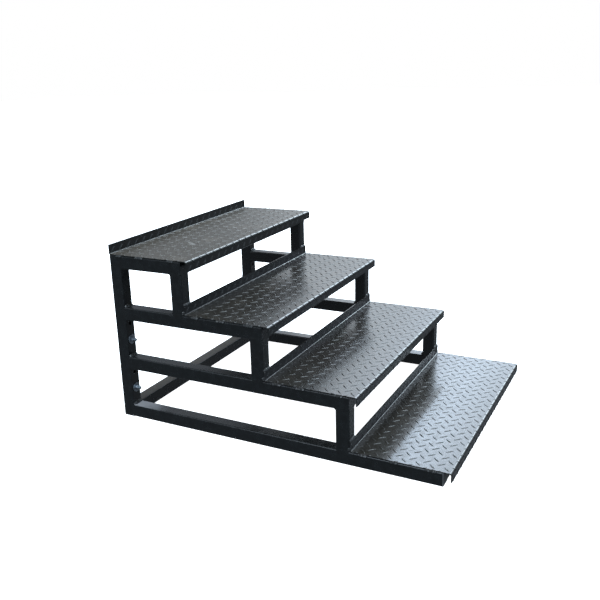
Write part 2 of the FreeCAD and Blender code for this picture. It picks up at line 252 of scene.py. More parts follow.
def soften(mesh, sharp_angle=math.radians(38)):
    """Smooth faces, with edges past the angle kept sharp."""
    mesh.polygons.foreach_set("use_smooth", np.ones(len(mesh.polygons), bool))
    mesh.set_sharp_from_angle(angle=sharp_angle)


def new_piece(name, mesh, material, nodes=()):
    """Puts a mesh in the scene: it rides on the block and stands for the named CAD nodes."""
    piece = bpy.data.objects.new(name, mesh)
    bpy.context.scene.collection.objects.link(piece)
    mesh.materials.append(material)
    weighted = piece.modifiers.new("Flat faces stay flat", "WEIGHTED_NORMAL")
    weighted.keep_sharp = True
    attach(piece, ROOT)
    if nodes:
        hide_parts(*nodes)
    return piece


def joined(shells):
    """Several (points, faces) shells as one."""
    points = [shell[0] for shell in shells]
    starts = np.cumsum([0] + [len(part) for part in points[:-1]])
    faces = [shell[1] + start for shell, start in zip(shells, starts)]
    return np.concatenate(points), np.concatenate(faces)


def on_axis(axis, u, v, w):
    """Points whose w runs along the named axis, and u and v along the next two in turn."""
    u, v, w = np.broadcast_arrays(u, v, w)
    order = {"X": (w, u, v), "Y": (v, w, u), "Z": (u, v, w)}[axis]
    return np.stack(order, -1)


# ---- tubes and caps

def square_outline(side, radius, arc_steps):
    """A square with rounded corners, as complex numbers, and how far round its corner each point is.

    One corner is its centre plus the radius times a unit number whose angle goes from 0 to 90 degrees.
    The other three are that corner times i, -1 and -i. The mask is the sine of twice the angle.
    """
    angle = np.linspace(0, QUARTER, arc_steps + 1)
    corner = (side / 2 - radius) * (1 + 1j) + radius * np.exp(1j * angle)
    turns = 1j ** np.arange(4)
    mask = np.tile(np.sin(2 * angle), 4)
    return (turns[:, None] * corner[None, :]).ravel(), mask


def long_axis(low, high):
    """The axis of a tube or cap: the one whose extent isn't the tube's side."""
    extents = np.abs(np.array(high - low) - TUBE_SIDE)
    return "XYZ"[int(np.argmax(extents))]


def outline_shell(low, high, rings, close):
    """A surface through outlines along a tube's axis.

    Each ring is (outline, mask, distance from the tube's start). The outline's two directions are the
    axes that follow the tube's own in turn, centred on the box's middle.
    """
    axis = long_axis(low, high)
    outlines = np.array([ring[0] for ring in rings])
    masks = np.array([ring[1] for ring in rings])
    along = np.array([ring[2] for ring in rings])[:, None]
    index = "XYZ".index(axis)
    middle = (np.array(low) + np.array(high)) / 2
    middle[index] = low[index]
    points = on_axis(axis, outlines.real, outlines.imag, along) + middle
    faces = grid_quads(len(rings), outlines.shape[1], close_rows=close, close_columns=True)
    return points.reshape(-1, 3), faces, masks.ravel()


def soft_end(sizes):
    """A tube's softened end, from its face inwards: (outline, mask of the worn edges, distance)."""
    radius = sizes.inner_radius + sizes.wall
    soft = sizes.saw_edge
    outer, mask = square_outline(TUBE_SIDE, radius, sizes.arc_steps)
    drawn_in, _ = square_outline(TUBE_SIDE - 2 * soft, radius - soft, sizes.arc_steps)
    return [(drawn_in, np.ones_like(mask), 0.0), (outer, mask, soft)]


def with_far_end(rings, length):
    """Rings at one end, then the same at the other."""
    return rings + [(outline, mask, length - distance) for outline, mask, distance in reversed(rings)]


def tube_shell(low, high, sizes):
    """Square hollow tube: outside with softened ends, then the inside, joined at both ends."""
    length = (high - low)["XYZ".index(long_axis(low, high))]
    inner, mask = square_outline(TUBE_SIDE - 2 * sizes.wall, sizes.inner_radius, sizes.arc_steps)
    inside = [(inner, 0 * mask, length), (inner, 0 * mask, 0.0)]
    return outline_shell(low, high, with_far_end(soft_end(sizes), length) + inside, close=True)


def cap_shell(low, high, sizes):
    """Closing plate with the tube's outline: both flats run to a centre point."""
    thickness = (high - low)["XYZ".index(long_axis(low, high))]
    end = soft_end(sizes)
    outline, mask, _ = end[0]
    flat = [(outline * share, 0 * mask, 0.0) for share in (0, 0.9)]
    return outline_shell(low, high, with_far_end(flat + end, thickness), close=False)


def turned_shell(axis, centre, radii, heights, steps, close=False):
    """A surface turned about an axis through centre: one ring for each radius and height."""
    angle = np.linspace(0, 2 * math.pi, steps, endpoint=False)
    u = np.outer(radii, np.cos(angle))
    v = np.outer(radii, np.sin(angle))
    points = on_axis(axis, u, v, np.array(heights)[:, None]) + np.array(centre)
    return points.reshape(-1, 3), grid_quads(len(radii), steps, close_rows=close, close_columns=True)


def disc_radius(node):
    """Radius of the round pieces of a node, which are centred on the side frames."""
    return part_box(node)[1].y - FRAME_Y


def bolt_places():
    """Y and Z of the four bolts, from the wide washers that are centred on them."""
    low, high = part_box("nut_washers")
    radius = disc_radius("nut_washers")
    return [(sign * FRAME_Y, z) for sign in SIDES.values() for z in (low.z + radius, high.z - radius)]


def spare_places():
    """Y and Z of the four empty holes, and their radius, from the record's mount."""
    mount = next(m for m in frame["record"]["mounts"] if m["name"] == "spare_fixing_holes")
    sizes = mount["dims"]
    _, y, z = mount["pos_m"]
    half_y = sizes["spacing_x_mm"] * MM / 2
    half_z = sizes["spacing_y_mm"] * MM / 2
    places = [(y + side * half_y, z + level * half_z) for side in (-1, 1) for level in (-1, 1)]
    return places, sizes["hole_r_mm"] * MM


def drill(mesh, post_y, sizes):
    """Cuts the bolt holes and empty holes through both walls of a rear post, with softened rims."""
    spare, radius = spare_places()
    soft = sizes.hole_edge
    rim = radius + soft
    flare = rim + soft
    wall = sizes.wall
    depth = TUBE_SIDE
    radii = [0, flare, flare, radius, radius, rim, rim, radius, radius, flare, flare, 0]
    heights = [
        -2 * soft, -2 * soft, -soft, soft, wall - soft, wall, depth - wall, depth - wall + soft,
        depth - soft, depth + soft, depth + 2 * soft, depth + 2 * soft,
    ]
    shells = [turned_shell("X", (REAR_X, y, z), radii, heights, steps=40)
              for y, z in spare + bolt_places() if abs(y - post_y) < TUBE_SIDE]
    cutter = bpy.data.objects.new("drill", new_mesh("drill", *joined(shells)))
    post = bpy.data.objects.new("post", mesh)
    for thing in (cutter, post):
        bpy.context.scene.collection.objects.link(thing)
    cut = post.modifiers.new("Holes", "BOOLEAN")
    cut.operation = "DIFFERENCE"
    cut.solver = "EXACT"
    cut.object = cutter
    drilled = bpy.data.meshes.new_from_object(post.evaluated_get(bpy.context.evaluated_depsgraph_get()))
    for thing in (cutter, post):
        bpy.data.objects.remove(thing)
    soften(drilled)
    return drilled


# ---- treads

def fold(s, sizes, depth, drop):
    """The walking face of a tread's section at a developed distance from the nosing's lower edge.

    The normal's angle is 0 on the nosing's front, 90 degrees on top and 0 again on the upstand, and
    turns evenly round both folds. A point on a fold is its centre plus or minus the radius times the
    normal; elsewhere it moves straight on. Returns x and z from the upstand's back and the tread's top,
    then the normal's x and z.
    """
    outer = sizes.plate + sizes.bend_radius
    inner = sizes.bend_radius
    marks = tread_marks(sizes, depth, drop)
    angle = np.interp(s, marks, [0, 0, QUARTER, QUARTER, 0, 0])
    nx, nz = np.cos(angle), np.sin(angle)
    places = [
        (depth + 0 * s, s - drop),
        (depth - outer + outer * nx, outer * nz - outer),
        (depth - outer - (s - marks[2]), 0 * s),
        (outer - inner * nx, inner - inner * nz),
        (outer - inner + 0 * s, inner + s - marks[4]),
    ]
    cases = [s < marks[1], s < marks[2], s < marks[3], s < marks[4], s >= marks[4]]
    x = np.select(cases, [p[0] for p in places])
    z = np.select(cases, [p[1] for p in places])
    return x, z, nx, nz


def tread_marks(sizes, depth, drop):
    """Developed distances where the folds start and end."""
    outer = sizes.plate + sizes.bend_radius
    return np.cumsum([0, drop - outer, QUARTER * outer, depth - 2 * outer, QUARTER * sizes.bend_radius,
                      sizes.upstand - sizes.bend_radius])


def plate_shell(sizes, depth, drop, width):
    """The folded plate: its two faces on one grid of developed distance by width, and its rim.

    Both faces draw together near the rim by the drop of a quarter circle, which softens the cut edges.
    """
    marks = tread_marks(sizes, depth, drop)
    soft = sizes.cut_edge
    arc = np.linspace(0, 1, 9)
    s = np.unique(np.concatenate([
        [0, soft * 0.3, soft], marks[1] + (marks[2] - marks[1]) * arc,
        marks[3] + (marks[4] - marks[3]) * arc, [marks[5] - soft, marks[5] - soft * 0.3, marks[5]],
    ]))
    half = width / 2
    y = np.array([-half, -half + soft * 0.3, -half + soft, half - soft, half - soft * 0.3, half])
    edge_s = np.minimum(s, marks[5] - s)
    edge_y = half - np.abs(y)
    edge = np.minimum(edge_s[:, None], edge_y[None, :])
    near = np.clip(1 - edge / soft, 0, 1)
    drawn = soft * (1 - np.sqrt(1 - near ** 2))
    x, z, nx, nz = (value[:, None] for value in fold(s, sizes, depth, drop))
    top = np.stack(np.broadcast_arrays(x - drawn * nx, y[None, :], z - drawn * nz), -1)
    back = sizes.plate - drawn
    under = np.stack(np.broadcast_arrays(x - back * nx, y[None, :], z - back * nz), -1)
    rows, columns = len(s), len(y)
    points = np.concatenate([top.reshape(-1, 3), under.reshape(-1, 3)])
    number = np.arange(rows * columns).reshape(rows, columns)
    rim = np.concatenate([number[0, :-1], number[:-1, -1], number[-1, :0:-1], number[:0:-1, 0]])
    following = np.roll(rim, -1)
    shift = rows * columns
    rim_faces = np.stack([rim, following, following + shift, rim + shift], -1)
    faces = np.concatenate([grid_quads(rows, columns), grid_quads(rows, columns, start=shift), rim_faces])
    return points, faces


def lug_shells(sizes, length, width):
    """All raised lugs on the flat, developed plate: distance, width and height, as one set of shells.

    A lug is a lens: at a, from -1 to 1 along it, its half width is (1 - a^2)^0.7 of the full one, and
    across it at b its height is (1 - b^2) (1 - a^4)^0.5 of the full one, less a small sinking into the
    plate. Like lugs repeat on a square lattice; the other set is turned by 90 degrees and sits in the
    middle of the first set's squares.
    """
    sunk = 0.2 * MM
    a = -np.cos(np.linspace(0, math.pi, 10))[:, None]
    b = np.linspace(-1, 1, 6)[None, :]
    slim = np.clip(1 - a ** 2, 0, 1)
    along = a * sizes.lug_length / 2 + 0 * b
    across = b * slim ** 0.7 * sizes.lug_width / 2
    height = (1 - b ** 2) * np.sqrt(1 - a ** 4) * (sizes.lug_height + sunk) - sunk
    faces = grid_quads(*along.shape, close_columns=True)
    shells = []
    half = width / 2
    for slant, offset in ((1, 0.0), (-1, 0.5)):
        rows = np.arange(-1, length // sizes.lug_pitch + 2) + offset
        columns = np.arange(-1, width // sizes.lug_pitch + 2) + offset
        s0, y0 = np.meshgrid(rows * sizes.lug_pitch, columns * sizes.lug_pitch, indexing="ij")
        turn = slant * math.radians(45)
        s = along * math.cos(turn) - across * math.sin(turn)
        y = along * math.sin(turn) + across * math.cos(turn)
        s = s0.ravel()[:, None, None] + s
        y = y0.ravel()[:, None, None] + y
        lift = np.broadcast_to(height, s.shape)
        flat = np.stack([s, y + sizes.first_lug_side - half, lift], -1)
        numbers = faces[None, :, :] + (np.arange(len(flat)) * along.size)[:, None, None]
        shells.append((flat.reshape(-1, 3), numbers.reshape(-1, 4)))
    return joined(shells)


def trimmed(mesh, limits):
    """Cuts the shells off outside a rectangle of the flat plate and closes each cut."""
    (low_s, high_s), (low_y, high_y) = limits
    planes = [((low_s, 0, 0), (-1, 0, 0)), ((high_s, 0, 0), (1, 0, 0)),
              ((0, low_y, 0), (0, -1, 0)), ((0, high_y, 0), (0, 1, 0))]
    shell = bmesh.new()
    shell.from_mesh(mesh)
    for point, normal in planes:
        everything = shell.verts[:] + shell.edges[:] + shell.faces[:]
        cut = bmesh.ops.bisect_plane(
            shell, geom=everything, dist=1e-7, plane_co=point, plane_no=normal, clear_outer=True)
        edges = [item for item in cut["geom_cut"] if isinstance(item, bmesh.types.BMEdge)]
        bmesh.ops.edgeloop_fill(shell, edges=edges)
    bmesh.ops.triangulate(shell, faces=[f for f in shell.faces if len(f.verts) > 4])
    shell.to_mesh(mesh)
    shell.free()


def tread_mesh(name, sizes, low, high):
    """A folded plate with its lugs, which follow the plate round both folds."""
    depth = high.x - low.x
    drop = high.z - low.z - sizes.upstand
    width = high.y - low.y
    length = tread_marks(sizes, depth, drop)[-1]
    # The first row's developed distance: the nosing's front and fold, then what is left of the way in.
    outer = sizes.plate + sizes.bend_radius
    first_row = drop - outer + QUARTER * outer + sizes.first_lug_front - outer
    points, faces = lug_shells(sizes, length, width)
    points[:, 0] += first_row % sizes.lug_pitch
    lugs = new_mesh(f"{name}_lugs", points, faces)
    soft = sizes.cut_edge
    trimmed(lugs, ((soft, length - soft), (-width / 2 + soft, width / 2 - soft)))
    flat = np.empty(len(lugs.vertices) * 3)
    lugs.vertices.foreach_get("co", flat)
    flat = flat.reshape(-1, 3)
    s, y, lift = flat.T
    x, z, nx, nz = fold(s, sizes, depth, drop)
    lugs.vertices.foreach_set("co", np.stack([x + lift * nx, y, z + lift * nz], -1).ravel())
    height = lugs.attributes.new("lug", "FLOAT", "POINT")
    height.data.foreach_set("value", np.clip(lift / sizes.lug_height, 0, 1).astype(np.float32))

    plate = new_mesh(name, *plate_shell(sizes, depth, drop, width))
    whole = bmesh.new()
    whole.from_mesh(plate)
    whole.from_mesh(lugs)
    whole.transform(Matrix.Translation((low.x, (low.y + high.y) / 2, high.z - sizes.upstand)))
    whole.to_mesh(plate)
    whole.free()
    bpy.data.meshes.remove(lugs)
    soften(plate)
    return plate


# ---- welds

def bead_shell(start, end, u, v, outline, sizes, seed):
    """A weld bead from start to end.

    The outline is a closed curve in the plane of u and v, about a root point at its first entry. It is
    carried along the line and scaled by three factors: a rounded rise and fall at the ends, a slow
    uneven swell, and ripples that lead in the middle of the bead, which makes them crescents.
    """
    start, end, u, v = (np.array(value, float) for value in (start, end, u, v))
    length = np.linalg.norm(end - start)
    way = (end - start) / length
    steps = max(8, int(length / sizes.ripple * 5))
    s = np.linspace(0, length, steps + 1)[:, None]
    reach = np.abs(outline).max()
    edge = np.clip(np.minimum(s, length - s) / reach, 0, 1)
    ends = np.sqrt(1 - (1 - edge) ** 2)
    phase = np.random.default_rng(seed).uniform(0, 2 * math.pi, 3)
    swell = 1 + 0.07 * np.sin(s * 210 + phase[0]) + 0.05 * np.sin(s * 490 + phase[1])
    middle = np.abs(outline) / reach
    ripple = ((s + middle[None, :] * sizes.ripple * 0.8) / sizes.ripple + phase[2]) % 1
    ripples = 1 - sizes.ripple_depth * (1 - np.sqrt(1 - (1 - ripple) ** 2))
    scale = ends * swell * ripples
    across = scale * outline.real[None, :]
    up = scale * outline.imag[None, :]
    points = start + s[..., None] * way + across[..., None] * u + up[..., None] * v
    faces = grid_quads(len(s), len(outline), close_columns=True)
    return points.reshape(-1, 3), faces


def fillet_outline(leg):
    """Root just inside the corner, then a curve from one leg to the other.

    The curve is 0.55 of the way from a quarter circle to the straight line between the legs' ends.
    """
    angle = np.linspace(0, QUARTER, 8)
    flat = 1 / (np.cos(angle) + np.sin(angle))
    curve = leg * (0.55 * flat + 0.45) * np.exp(1j * angle)
    root = -0.1 * leg * (1 + 1j)
    lower = curve[0] - 0.1j * leg
    upper = curve[-1] - 0.1 * leg
    return np.concatenate([[root, lower], curve, [upper]])


def flush_outline(width, height, depth):
    """A low lens on a flat face, over a wedge that fills the groove beside a tube's rounded corner."""
    angle = np.linspace(0, math.pi, 9)
    curve = width / 2 * np.cos(angle) + 1j * height * np.sin(angle)
    sunk = -0.25j * MM
    return np.concatenate([[-1j * depth], [curve[0] + sunk], curve, [curve[-1] + sunk]])


def bead_outlines(sizes):
    """The outlines of a fillet and of a dressed butt weld."""
    return fillet_outline(sizes.leg), flush_outline(sizes.flush_width, sizes.flush_height, sizes.groove)


def across(x, y, z, reach, *kind):
    """A bead along Y, by reach to both sides of y, with its two directions and its outline."""
    return ((x, y - reach, z), (x, y + reach, z), *kind)


def side_frame_beads(side, sizes):
    """Beads of one side frame: rails on the rear post, and short posts between rails."""
    fillet, flush = bead_outlines(sizes)
    reach = TUBE_SIDE / 2 - BEAD_GAP
    y = SIDES[side] * FRAME_Y
    faces = [(y - TUBE_SIDE / 2, -Y), (y + TUBE_SIDE / 2, Y)]
    lines = []
    for level, step in enumerate(STEPS):
        low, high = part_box(f"{side}_{step}_rail")
        if step != STEPS[-1]:
            lines.append(across(low.x, y, high.z, reach, X, Z, fillet))
        if level:
            lines.append(across(low.x, y, low.z, reach, X, -Z, fillet))
        seam = low.x - sizes.groove_shift
        bottom, top = low.z + BEAD_GAP, high.z - BEAD_GAP
        lines += [((seam, face_y, bottom), (seam, face_y, top), X, out, flush) for face_y, out in faces]
    for step in STEPS[1:]:
        low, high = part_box(f"{side}_{step}_post")
        back, front = low.x + BEAD_GAP, high.x - BEAD_GAP
        for z, up in ((low.z, Z), (high.z, -Z)):
            lines.append(across(low.x, y, z, reach, -X, up, fillet))
            seam = z - up[2] * sizes.groove_shift
            lines += [((back, face_y, seam), (front, face_y, seam), Z, out, flush) for face_y, out in faces]
        lines.append(across(high.x, y, high.z + sizes.groove_shift, reach, Z, X, flush))
    return lines


def cross_tube_beads(sizes):
    """Beads at both ends of each cross tube, against the side frames' inner faces."""
    fillet, flush = bead_outlines(sizes)
    lines = []
    for node in (n for n in TUBE_NODES if n.endswith("_cross_tube")):
        low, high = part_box(node)
        on_ground = low.z < TUBE_SIDE / 2
        rear = node.startswith("rear")
        for sign in SIDES.values():
            y = sign * INNER_Y
            inward = -sign * Y
            bottom, top = low.z + BEAD_GAP, high.z - BEAD_GAP
            back, front = low.x + BEAD_GAP, high.x - BEAD_GAP
            back_kind = (Y, -X, flush) if rear else (-X, inward, fillet)
            front_kind = (X, inward, fillet) if rear else (Y, X, flush)
            seam = y + sign * sizes.groove_shift
            back_y, front_y = (seam, y) if rear else (y, seam)
            lines.append(((low.x, back_y, bottom), (low.x, back_y, top), *back_kind))
            lines.append(((high.x, front_y, bottom), (high.x, front_y, top), *front_kind))
            if rear and on_ground:
                lines.append(((back, y, high.z), (front, y, high.z), inward, Z, fillet))
            if rear and not on_ground:
                lines.append(((back, y, low.z), (front, y, low.z), inward, -Z, fillet))
            if not rear and not on_ground:
                lines.append(((back, seam, low.z), (front, seam, low.z), Y, -Z, flush))
    return lines


def tread_beads(step, sizes):
    """Stitches that hold one tread: along its ends, under its front, and on its upstand at the posts."""
    low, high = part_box(f"{step}_tread")
    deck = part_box(f"left_{step}_rail")[1].z
    stitch = fillet_outline(sizes.leg * 0.75)
    rng = np.random.default_rng(40 + STEPS.index(step))
    end_y = BLOCK_WIDTH / 2 - 1.2 * MM
    end_z = deck - 2.4 * MM
    lines = []
    for sign in SIDES.values():
        for share in (0.13, 0.46, 0.86):
            middle = low.x + (share + rng.uniform(-0.03, 0.03)) * GOING
            half = sizes.stitch * rng.uniform(0.4, 0.6)
            lines.append(((middle - half, sign * end_y, end_z), (middle + half, sign * end_y, end_z),
                          sign * Y, Z, stitch))
    tube_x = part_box(f"{step}_front_cross_tube")[0].x
    fillet = fillet_outline(sizes.leg)
    for share in (-0.3, 0.0, 0.3):
        lines.append(across(tube_x, share * BLOCK_WIDTH, deck, sizes.stitch * 0.6, -X, -Z, fillet))
    if step != STEPS[-1]:
        foot = deck + 3 * MM
        back = low.x - 1 * MM
        for sign in SIDES.values():
            lines.append(across(low.x, sign * FRAME_Y, high.z, TUBE_SIDE * 0.42, X, Z, stitch))
            edge = sign * (BLOCK_WIDTH / 2 - 1.5 * MM)
            lines.append(((back, edge, foot), (back, edge, foot + 15 * MM), X, sign * Y, stitch))
    return lines


def bead_piece(name, lines, sizes, material):
    """One piece of all the beads in a list of (start, end, u, v, outline)."""
    shells = [bead_shell(*line, sizes, seed) for seed, line in enumerate(lines)]
    return new_piece(name, new_mesh(name, *joined(shells)), material)


# ---- fasteners

def hexagon_radius(flats, angle):
    """A hexagon's radius: half the flats over the cosine of the angle from the nearest flat's middle."""
    sixth = math.pi / 3
    return flats / 2 / np.cos((angle + sixth / 2) % sixth - sixth / 2)


def hexagon_rings(flats, height, turn, both_ends):
    """Outside of a hexagon head or nut, chamfered at its start, and at its end too if asked.

    The radius is the smaller of the hexagon's and that of a 30 degree cone at each chamfered end.
    """
    depths = np.array([0, 0.02, 0.05, 0.09, 0.14, 0.2, 0.5, 0.8, 0.86, 0.91, 0.95, 0.98, 1.0]) * height
    radius = np.repeat(hexagon_radius(flats, AROUND)[None, :], len(depths), 0)
    slope = math.tan(math.radians(60))
    start = flats / 2 * 0.95
    radius = np.minimum(radius, start + slope * depths[:, None])
    if both_ends:
        radius = np.minimum(radius, start + slope * (height - depths)[:, None])
    return radius * np.exp(1j * (AROUND[None, :] + turn)), depths


def ring_points(outlines, depths, place):
    """Rings about an axis along +X through place, where x is counted from place."""
    outlines = np.array(outlines)
    points = on_axis("X", outlines.real, outlines.imag, np.array(depths)[:, None]) + np.array(place)
    return points.reshape(-1, 3)


def bolt_shell(sizes, x_head, x_tip, place, turn):
    """Bolt along +X: chamfered hexagon head, plain shank, then a thread with a chamfered tip.

    The thread's radius is the full one less its depth times a triangle wave of distance over pitch less
    the angle over a full turn, so the crest is a helix.
    """
    outlines, depths = hexagon_rings(sizes.flats, sizes.head, turn, False)
    around = np.exp(1j * (AROUND + turn))[None, :]
    radius = sizes.bolt / 2
    shank = x_tip - x_head - sizes.head
    threaded = 30 * MM
    z = np.arange(shank - threaded, shank, sizes.pitch / 8)
    angle = np.angle(around)
    wave = np.abs(((z[:, None] / sizes.pitch - angle / (2 * math.pi)) % 1) * 2 - 1)
    runout = np.clip((z - z[0]) / (2 * sizes.pitch), 0, 1)[:, None]
    thread = radius - sizes.thread * runout * (1 - wave)
    chamfer = 1.2 * MM
    point = radius - 1.3 * MM
    tip = radius - chamfer + np.clip(shank - z, 0, chamfer)[:, None]
    thread = np.minimum(thread, tip)
    rings = [outlines[0] * 0, *outlines, radius * around[0], radius * around[0], *(thread * around),
             point * around[0], around[0] * 0]
    heights = [0, *depths, sizes.head, sizes.head + shank - threaded, *(z + sizes.head),
               sizes.head + shank, sizes.head + shank]
    points = ring_points(rings, heights, (x_head, *place))
    return points, grid_quads(len(rings), len(AROUND), close_columns=True)


def nut_shell(sizes, x_start, height, place, turn):
    """Nut along +X, chamfered at both ends, with a countersunk bore."""
    outlines, depths = hexagon_rings(sizes.flats, height, turn, True)
    around = np.exp(1j * (AROUND + turn))
    bore = sizes.bolt / 2 + 0.15 * MM
    sink = 0.9 * MM
    rings = [*outlines, (bore + sink) * around, bore * around, bore * around, (bore + sink) * around]
    heights = [*depths, height, height - sink, sink, 0]
    points = ring_points(rings, heights, (x_start, *place))
    return points, grid_quads(len(rings), len(AROUND), close_rows=True, close_columns=True)


def washer_shell(outer, inner, thickness, x_start, place):
    """Flat ring along +X with softened rims."""
    soft = 0.3 * MM
    radii = [outer - soft, outer, outer, outer - soft, inner + soft, inner, inner, inner + soft]
    heights = [0, soft, thickness - soft, thickness, thickness, thickness - soft, soft, 0]
    return turned_shell("X", (x_start, *place), radii, heights, 64, close=True)


# ---- materials

def add(tree, kind, values=None, links=None, **settings):
    """A node with its socket values, the outputs linked to its inputs and its own settings."""
    node = tree.nodes.new(kind)
    for key, value in settings.items():
        setattr(node, key, value)
    for key, value in (values or {}).items():
        node.inputs[key].default_value = value
    for key, source in (links or {}).items():
        tree.links.new(source, node.inputs[key])
    return node


def arithmetic(tree, operation, first, second, clamp=False):
    """A Math node on two outputs or numbers."""
    node = tree.nodes.new("ShaderNodeMath")
    node.operation = operation
    node.use_clamp = clamp
    for socket, value in zip(node.inputs, (first, second)):
        if isinstance(value, (int, float)):
            socket.default_value = value
        else:
            tree.links.new(value, socket)
    return node.outputs[0]


def product(tree, *values):
    """The product of outputs or numbers."""
    result = values[0]
    for value in values[1:]:
        result = arithmetic(tree, "MULTIPLY", result, value)
    return result


def split(tree, vector):
    """X, Y and Z of a vector output."""
    return add(tree, "ShaderNodeSeparateXYZ", None, {"Vector": vector}).outputs


def facing_up(tree):
    """How much each face looks up: Z of its normal."""
    return split(tree, add(tree, "ShaderNodeNewGeometry").outputs["Normal"])["Z"]


def spread(tree, source, low, high, to_low=0.0, to_high=1.0):
    """Maps an output from one range to another, smoothly, and holds it within the new one."""
    ends = {"From Min": low, "From Max": high, "To Min": to_low, "To Max": to_high}
    node = add(tree, "ShaderNodeMapRange", ends, {"Value": source}, interpolation_type="SMOOTHSTEP")
    return node.outputs["Result"]


def mixed(tree, factor, first, second):
    """A colour mix by an output, of two outputs or colours."""
    node = add(tree, "ShaderNodeMix", data_type="RGBA")
    for index, value in ((0, factor), (6, first), (7, second)):
        if isinstance(value, bpy.types.NodeSocket):
            tree.links.new(value, node.inputs[index])
        else:
            node.inputs[index].default_value = (*value, 1.0)
    return node.outputs[2]


def noise(tree, scale, detail=3.0, roughness=0.55, stretch=None):
    """Fractal noise on the object's own coordinates, in metres, stretched if asked."""
    place = add(tree, "ShaderNodeTexCoord").outputs["Object"]
    if stretch:
        place = add(tree, "ShaderNodeMapping", {"Scale": stretch}, {"Vector": place}).outputs["Vector"]
    node = add(tree, "ShaderNodeTexNoise", {"Scale": scale, "Detail": detail, "Roughness": roughness},
               {"Vector": place})
    return node.outputs["Fac"]


def fill_dust(group, inputs, outputs):
    """Yard dust: a mask that is strongest on faces that look up, broken into patches of two sizes."""
    facing = arithmetic(group, "MAXIMUM", spread(group, facing_up(group), 0.3, 0.95), inputs["Everywhere"])
    patches = spread(group, noise(group, 7.0, 5.0, 0.62), 0.3, 0.7)
    patches = arithmetic(group, "MAXIMUM", patches, inputs["Evenness"])
    grains = spread(group, noise(group, 260.0, 3.0, 0.7), 0.3, 0.7, 0.55, 1.0)
    mask = product(group, patches, grains, facing)
    group.links.new(arithmetic(group, "MULTIPLY", mask, inputs["Amount"], clamp=True), outputs["Mask"])


def fill_paint_skin(group, inputs, outputs):
    """Sprayed paint: a fine orange peel, slow waves of the rolled steel below, and a mottle of its gloss."""
    peel = product(group, noise(group, 520.0, 2.0), inputs["Peel"])
    waves = product(group, noise(group, 7.0, 1.0), inputs["Waves"])
    group.links.new(arithmetic(group, "ADD", peel, waves), outputs["Height"])
    group.links.new(spread(group, noise(group, 38.0, 4.0, 0.62), 0.3, 0.7), outputs["Mottle"])


def fill_scuffs(group, inputs, outputs):
    """Scuffs: thin broken streaks in two directions."""
    first = spread(group, noise(group, 60.0, 4.0, 0.6, (1.0, 9.0, 4.0)), 0.62, 0.74)
    second = spread(group, noise(group, 45.0, 4.0, 0.6, (8.0, 1.2, 5.0)), 0.64, 0.76)
    patches = spread(group, noise(group, 6.0, 2.0), 0.45, 0.65)
    both = product(group, arithmetic(group, "MAXIMUM", first, second), patches)
    group.links.new(arithmetic(group, "MULTIPLY", both, inputs["Amount"], clamp=True), outputs["Mask"])


# The shared node groups: each input's default, the outputs, and the function that fills the group.
GROUPS = {
    "Yard dust": ({"Amount": 0.5, "Everywhere": 0.15, "Evenness": 0.5}, ["Mask"], fill_dust),
    "Paint skin": ({"Peel": 0.12, "Waves": 0.6}, ["Height", "Mottle"], fill_paint_skin),
    "Scuffs": ({"Amount": 0.4}, ["Mask"], fill_scuffs),
}


def shared_group(name):
    """One of the shared node groups, made the first time it is asked for."""
    if name in bpy.data.node_groups:
        return bpy.data.node_groups[name]
    inputs, outputs, fill = GROUPS[name]
    group = bpy.data.node_groups.new(name, "ShaderNodeTree")
    for label, default in inputs.items():
        socket = group.interface.new_socket(label, in_out="INPUT", socket_type="NodeSocketFloat")
        socket.default_value = default
    for label in outputs:
        group.interface.new_socket(label, in_out="OUTPUT", socket_type="NodeSocketFloat")
    fill(group, group.nodes.new("NodeGroupInput").outputs, group.nodes.new("NodeGroupOutput").inputs)
    return group


def grouped(tree, name, **values):
    """A shared group in a tree, with its inputs set by name."""
    node = add(tree, "ShaderNodeGroup", node_tree=shared_group(name))
    for key, value in values.items():
        node.inputs[key].default_value = value
    return node.outputs


def new_material(name):
    """A material with only its shader and output, and its tree."""
    material = bpy.data.materials.new(name)
    material.use_nodes = True
    tree = material.node_tree
    tree.nodes.clear()
    shader = tree.nodes.new("ShaderNodeBsdfPrincipled")
    output = tree.nodes.new("ShaderNodeOutputMaterial")
    tree.links.new(shader.outputs["BSDF"], output.inputs["Surface"])
    return material, tree, shader


def bumped(tree, shader, height, strength, distance):
    """Feeds a height to the shader's normal through a Bump node."""
    bump = add(tree, "ShaderNodeBump", {"Strength": strength, "Distance": distance}, {"Height": height})
    tree.links.new(bump.outputs["Normal"], shader.inputs["Normal"])


def settled_dirt(tree):
    """Mask and colour of the dirt on the lowest tubes near the rear posts and on their front caps.

    It is pale on the rails and damp between them. Noise makes its end ragged.
    """
    parts = split(tree, add(tree, "ShaderNodeTexCoord").outputs["Object"])
    ragged = product(tree, noise(tree, 28.0, 4.0, 0.65), 0.16)
    reach = arithmetic(tree, "ADD", parts["X"], ragged)
    beside = spread(tree, reach, REAR_X + 6.0 * TUBE_SIDE, REAR_X + 3.4 * TUBE_SIDE)
    low = spread(tree, parts["Z"], 1.5 * TUBE_SIDE, 1.2 * TUBE_SIDE)
    mask = product(tree, beside, low, spread(tree, facing_up(tree), 0.5, 0.95))
    kicked = product(tree, spread(tree, parts["X"], CAP_FRONT - 3 * MM, CAP_FRONT - 1 * MM), 0.5)
    aside = spread(tree, arithmetic(tree, "ABSOLUTE", parts["Y"], 0.0), INNER_Y - 6 * MM, INNER_Y + 6 * MM)
    return arithmetic(tree, "MAXIMUM", mask, kicked), mixed(tree, aside, DAMP_DIRT, SILT)


